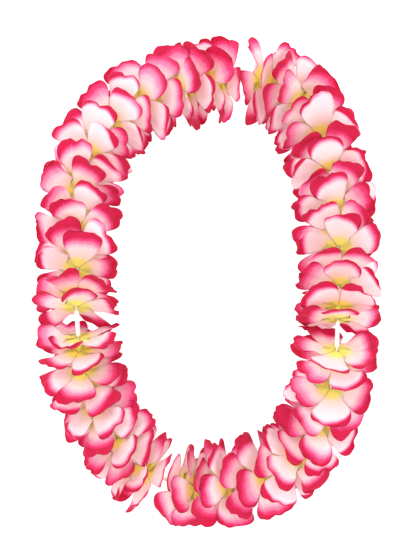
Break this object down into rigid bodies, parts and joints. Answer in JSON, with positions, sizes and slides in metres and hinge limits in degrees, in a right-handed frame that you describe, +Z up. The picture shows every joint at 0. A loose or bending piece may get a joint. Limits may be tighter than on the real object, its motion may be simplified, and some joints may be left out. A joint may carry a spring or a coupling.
{
  "type": "cloth flower lei",
  "caption": "Oval cloth flower lei laid flat: double dyed blooms threaded on a closed, knotted string with spacer tubes between them, petals overlapping all round an open middle.",
  "frame": {"origin": "on the surface the lei lies on, under the middle of its box", "axes": "+Z up from that surface, +Y along the oval's longer axis towards the end with the nearly upright pair of blooms, +X to the right seen from above"},
  "size_m": [0.3188, 0.4524, 0.0716],
  "materials": {
    "petal_cloth": "thin woven polyester, dyed crimson at the petal tips through pink and pale pink to yellow at the middle",
    "spacer_plastic": "white tube",
    "string": "white twisted thread"
  },
  "bodies": {
    "root": {"bloom_01": "petal_cloth", "bloom_02": "petal_cloth", "bloom_03": "petal_cloth", "bloom_04": "petal_cloth", "bloom_05": "petal_cloth", "bloom_06": "petal_cloth", "bloom_07": "petal_cloth", "bloom_08": "petal_cloth", "bloom_09": "petal_cloth", "bloom_10": "petal_cloth", "bloom_11": "petal_cloth", "bloom_12": "petal_cloth", "bloom_13": "petal_cloth", "bloom_14": "petal_cloth", "bloom_15": "petal_cloth", "bloom_16": "petal_cloth", "bloom_17": "petal_cloth", "bloom_18": "petal_cloth", "bloom_19": "petal_cloth", "bloom_20": "petal_cloth", "bloom_21": "petal_cloth", "bloom_22": "petal_cloth", "bloom_23": "petal_cloth", "bloom_24": "petal_cloth", "bloom_25": "petal_cloth", "bloom_26": "petal_cloth", "bloom_27": "petal_cloth", "bloom_28": "petal_cloth", "bloom_29": "petal_cloth", "spacer_01": "spacer_plastic", "spacer_02": "spacer_plastic", "spacer_03": "spacer_plastic", "spacer_04": "spacer_plastic", "spacer_05": "spacer_plastic", "spacer_06": "spacer_plastic", "spacer_07": "spacer_plastic", "spacer_08": "spacer_plastic", "spacer_09": "spacer_plastic", "spacer_10": "spacer_plastic", "spacer_11": "spacer_plastic", "spacer_12": "spacer_plastic", "spacer_13": "spacer_plastic", "spacer_14": "spacer_plastic", "spacer_15": "spacer_plastic", "spacer_16": "spacer_plastic", "spacer_17": "spacer_plastic", "spacer_18": "spacer_plastic", "spacer_19": "spacer_plastic", "spacer_20": "spacer_plastic", "spacer_21": "spacer_plastic", "spacer_22": "spacer_plastic", "spacer_23": "spacer_plastic", "spacer_24": "spacer_plastic", "spacer_25": "spacer_plastic", "spacer_26": "spacer_plastic", "spacer_27": "spacer_plastic", "spacer_28": "spacer_plastic", "string_loop": "string"}
  },
  "joints": []
}
